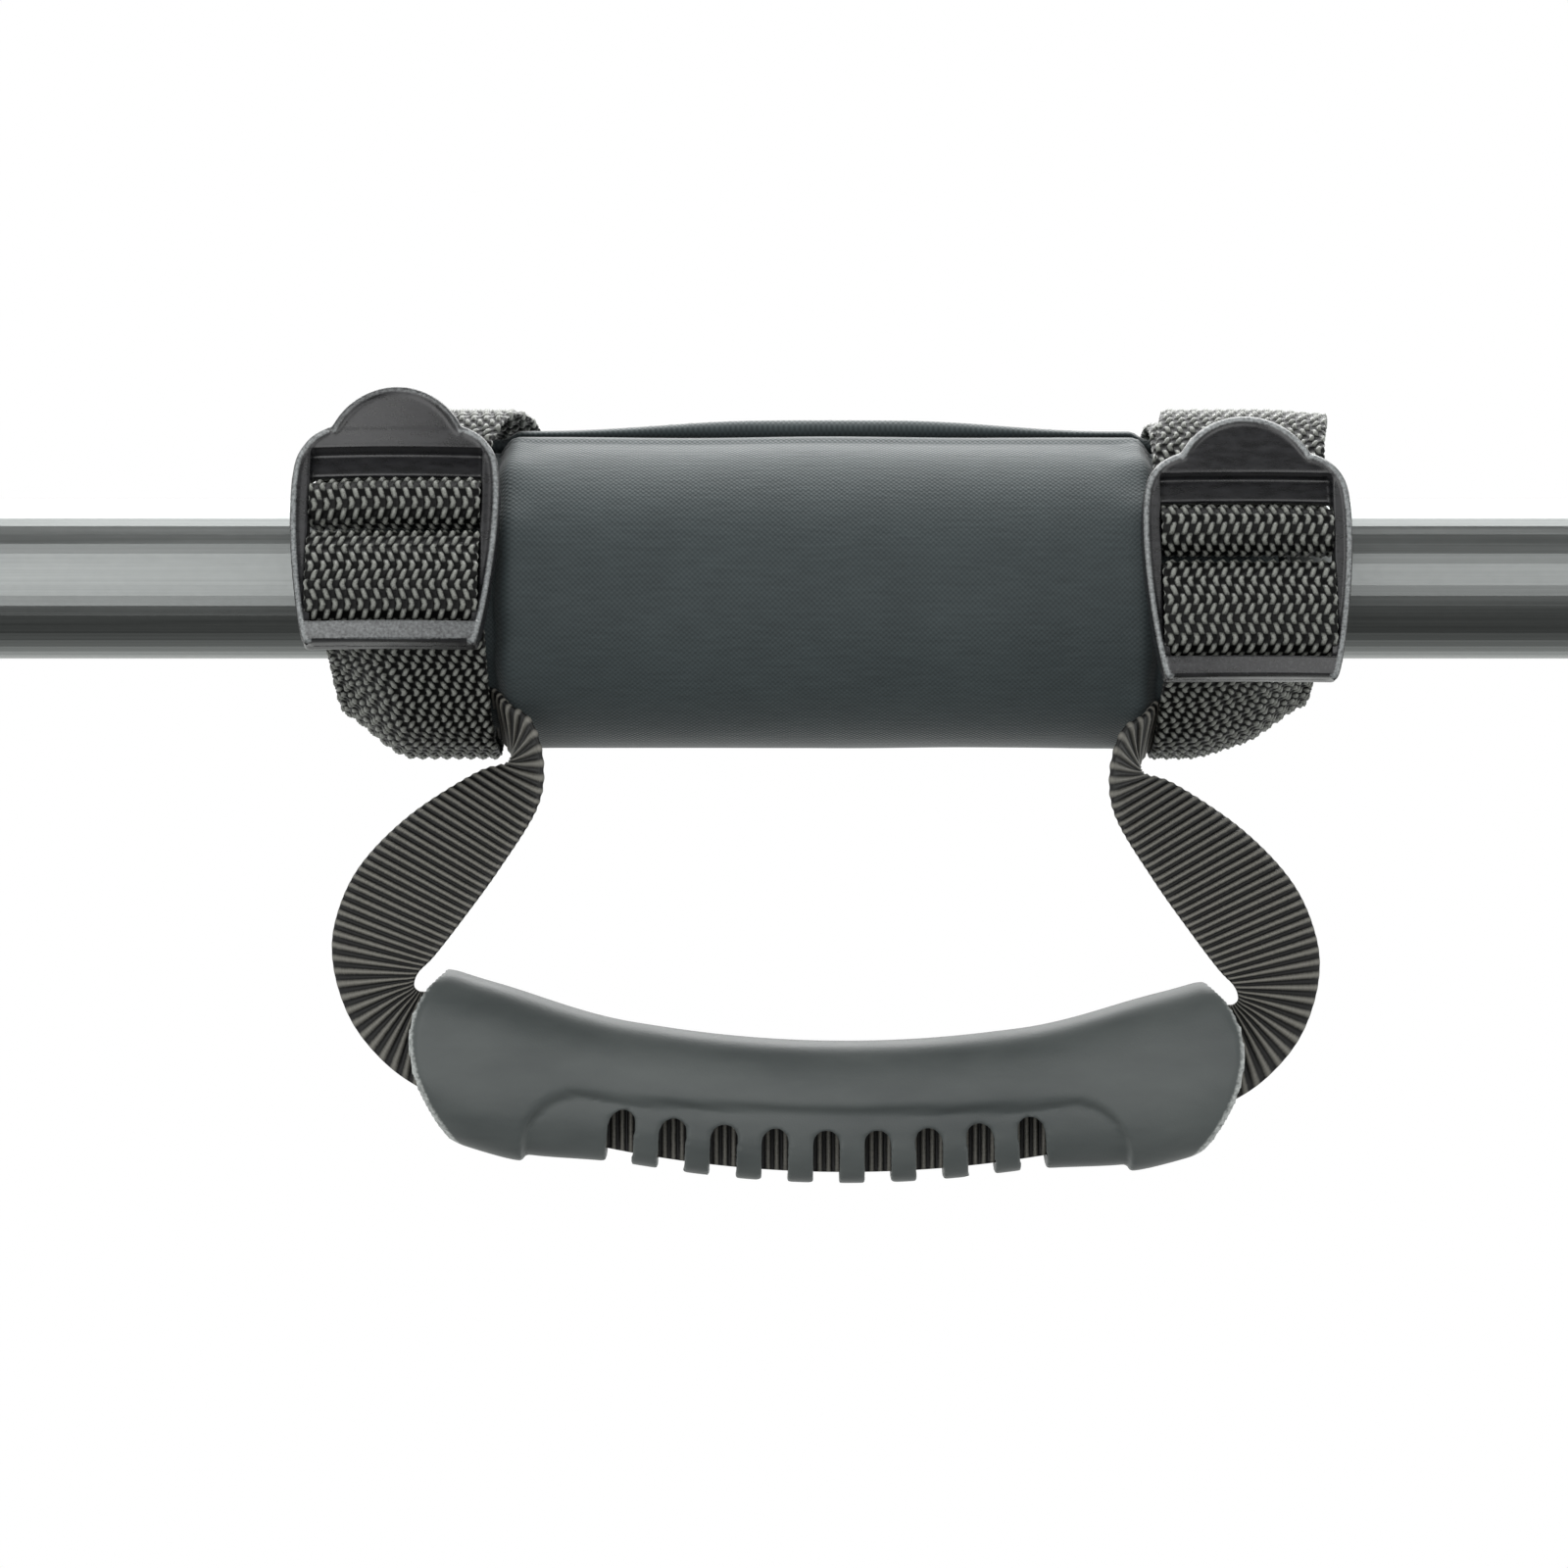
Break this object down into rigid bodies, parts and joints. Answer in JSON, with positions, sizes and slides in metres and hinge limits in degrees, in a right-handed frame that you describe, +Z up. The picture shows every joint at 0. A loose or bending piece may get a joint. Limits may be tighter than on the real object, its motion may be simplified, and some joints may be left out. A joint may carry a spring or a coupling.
{
  "type": "pull up bar hand grip",
  "caption": "Padded sleeve buckled round a round steel bar by webbing straps, with a hollow ribbed hand grip hanging below on a tape loop.",
  "frame": {"origin": "on the bar's axis, midway between the two straps", "axes": "+X along the bar, -Y towards the side where the buckles sit, +Z up"},
  "size_m": [0.3056, 0.0614, 0.1237],
  "materials": {
    "bar_paint": "satin grey paint on steel",
    "pad_fabric": "woven nylon, slate",
    "pad_foam": "closed cell foam",
    "webbing": "herringbone polypropylene webbing, black",
    "tape": "ribbed nylon tape, black",
    "hook_loop": "hook and loop tape, black",
    "buckle_plastic": "moulded acetal, black",
    "plug_plastic": "moulded polyethylene, black",
    "grip_rubber": "moulded soft PVC, grey, satin"
  },
  "bodies": {
    "bar": {"bar_tube": "bar_paint", "end_plug_left": "plug_plastic", "end_plug_right": "plug_plastic"},
    "sleeve": {"pad_lining": "pad_foam", "pad_foam": "pad_foam", "pad_cover": "pad_fabric", "closing_flap": "pad_fabric", "loop_strip": "hook_loop", "hook_strip": "hook_loop", "end_binding_left": "tape", "end_binding_right": "tape", "strap_left": "webbing", "strap_right": "webbing", "strap_tail_left": "webbing", "strap_tail_right": "webbing", "tape_sewn_end_left": "tape", "tape_sewn_end_right": "tape"},
    "buckle_body_left": {"buckle_left": "buckle_plastic", "strap_end_left": "webbing", "strap_threaded_left": "webbing"},
    "buckle_body_right": {"buckle_right": "buckle_plastic", "strap_end_right": "webbing", "strap_threaded_right": "webbing"},
    "hand_loop": {"tape_flex_left": "tape", "tape_flex_right": "tape", "hand_tape": "tape", "hand_grip": "grip_rubber"}
  },
  "joints": [
    {"name": "sleeve_turn", "type": "hinge", "parent": "bar", "child": "sleeve", "pos_m": [0, 0, 0], "axis": [1, 0, 0], "continuous": true},
    {"name": "loop_swing", "type": "hinge", "parent": "sleeve", "child": "hand_loop", "pos_m": [0, -0.012, -0.034], "axis": [1, 0, 0], "range_deg": [-70, 40], "deforming": ["tape_flex_left", "tape_flex_right"]},
    {"name": "buckle_left_lift", "type": "hinge", "parent": "sleeve", "child": "buckle_body_left", "pos_m": [-0.066, -0.03016, -0.0112], "axis": [1, 0, 0], "range_deg": [0, 30], "stiffness_Nm_per_rad": 0.05, "springref_deg": -11.46},
    {"name": "buckle_right_lift", "type": "hinge", "parent": "sleeve", "child": "buckle_body_right", "pos_m": [0.064, -0.02889, -0.01482], "axis": [1, 0, 0], "range_deg": [0, 30], "stiffness_Nm_per_rad": 0.05, "springref_deg": -11.46}
  ]
}
